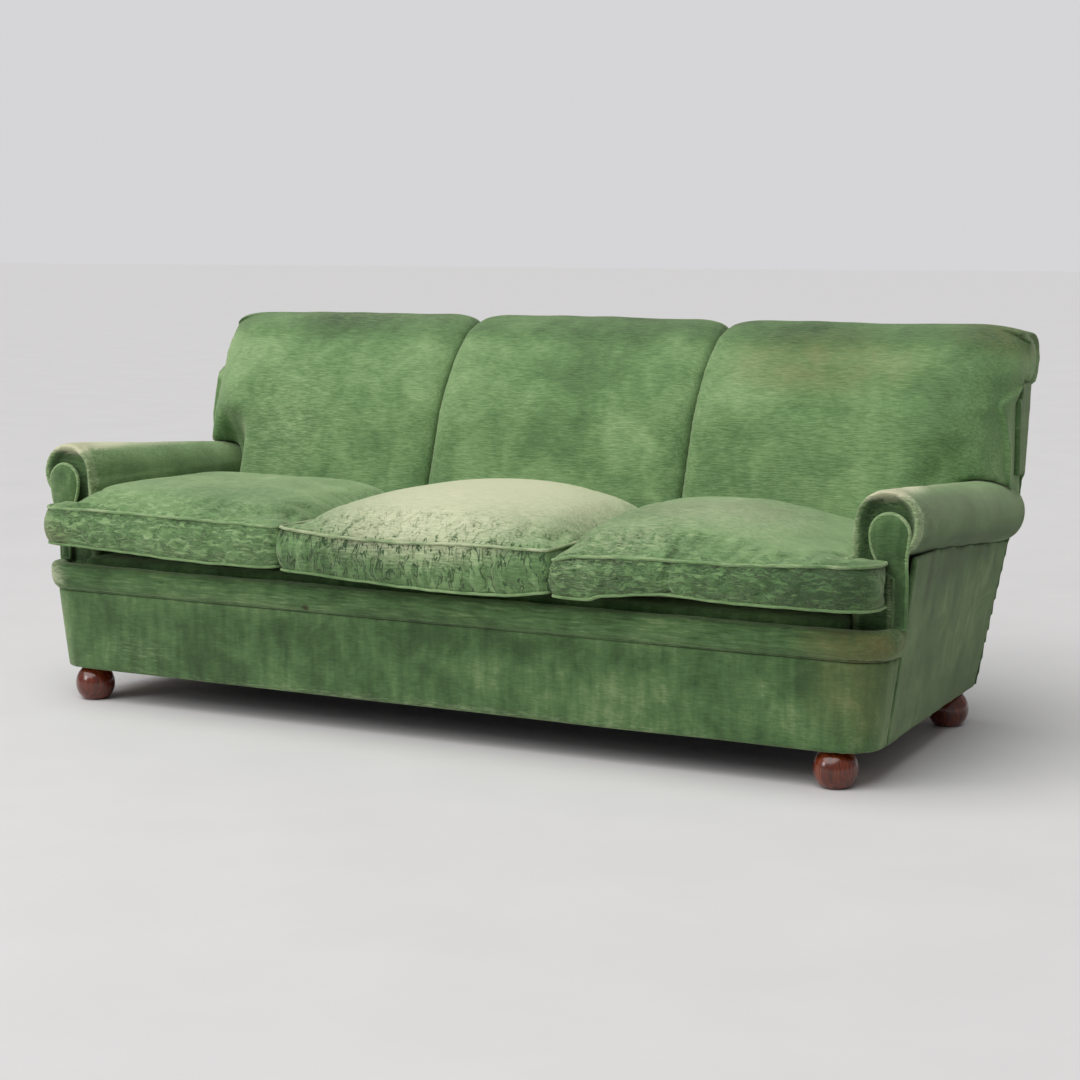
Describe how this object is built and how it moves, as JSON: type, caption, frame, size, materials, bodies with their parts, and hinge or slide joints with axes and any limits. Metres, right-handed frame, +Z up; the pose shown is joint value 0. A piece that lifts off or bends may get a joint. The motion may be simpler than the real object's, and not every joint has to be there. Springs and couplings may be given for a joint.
{
  "type": "three-seat rolled-arm sofa",
  "caption": "Worn green velvet sofa with rolled arms, a sectioned back rolled over at the top, loose seat cushions, a padded front edge and turned ball feet.",
  "frame": {"origin": "on the floor, under the middle of the sofa's whole length and depth", "axes": "+X along the length towards the sitter's left hand, the front faces -Y, +Z up"},
  "size_m": [2.134, 0.938, 0.866],
  "materials": {
    "green_cloth": "worn velvet pile with short level slubs, sewn with self piping",
    "faded_cloth": "the same velvet pile bleached pale by sun and wear",
    "stained_wood": "turned beech stained red-brown, semi-gloss lacquer",
    "raw_wood": "planed, unfinished",
    "jute": "woven jute webbing, natural",
    "lining_cloth": "thin plain black cotton",
    "spring_steel": "drawn wire and plain bolts, unpolished"
  },
  "bodies": {
    "root": {"foot_front_left": "stained_wood", "foot_bolt_front_left": "spring_steel", "foot_rear_left": "stained_wood", "foot_bolt_rear_left": "spring_steel", "foot_front_right": "stained_wood", "foot_bolt_front_right": "spring_steel", "foot_rear_right": "stained_wood", "foot_bolt_rear_right": "spring_steel", "corner_block_front_left": "raw_wood", "corner_block_rear_left": "raw_wood", "corner_block_front_right": "raw_wood", "corner_block_rear_right": "raw_wood", "front_rail": "raw_wood", "rear_rail": "raw_wood", "side_rail_left": "raw_wood", "cross_rail_left": "raw_wood", "side_rail_right": "raw_wood", "cross_rail_right": "raw_wood", "arm_post_left": "raw_wood", "arm_board_left": "raw_wood", "arm_post_right": "raw_wood", "arm_board_right": "raw_wood", "back_post_left": "raw_wood", "back_upright_left": "raw_wood", "back_post_right": "raw_wood", "back_upright_right": "raw_wood", "back_top_rail": "raw_wood", "webbing_long_1": "jute", "webbing_long_2": "jute", "webbing_long_3": "jute", "webbing_cross_1": "jute", "webbing_cross_2": "jute", "webbing_cross_3": "jute", "seat_spring_1": "spring_steel", "seat_spring_2": "spring_steel", "seat_spring_3": "spring_steel", "seat_spring_4": "spring_steel", "seat_spring_5": "spring_steel", "seat_spring_6": "spring_steel", "seat_spring_7": "spring_steel", "seat_spring_8": "spring_steel", "seat_spring_9": "spring_steel", "seat_deck": "green_cloth", "front_panel": "green_cloth", "front_edge_roll": "green_cloth", "side_panel_left": "green_cloth", "side_panel_right": "green_cloth", "dust_cover": "lining_cloth", "arm_pad_left": "green_cloth", "arm_pad_right": "green_cloth", "arm_facing_left": "green_cloth", "arm_facing_right": "green_cloth", "back_pad_middle": "green_cloth", "back_pad_left": "green_cloth", "back_pad_right": "green_cloth", "outer_back_panel": "green_cloth", "seat_cushion_left": "green_cloth", "seat_cushion_right": "green_cloth", "seat_cushion_middle": "faded_cloth"}
  },
  "joints": []
}
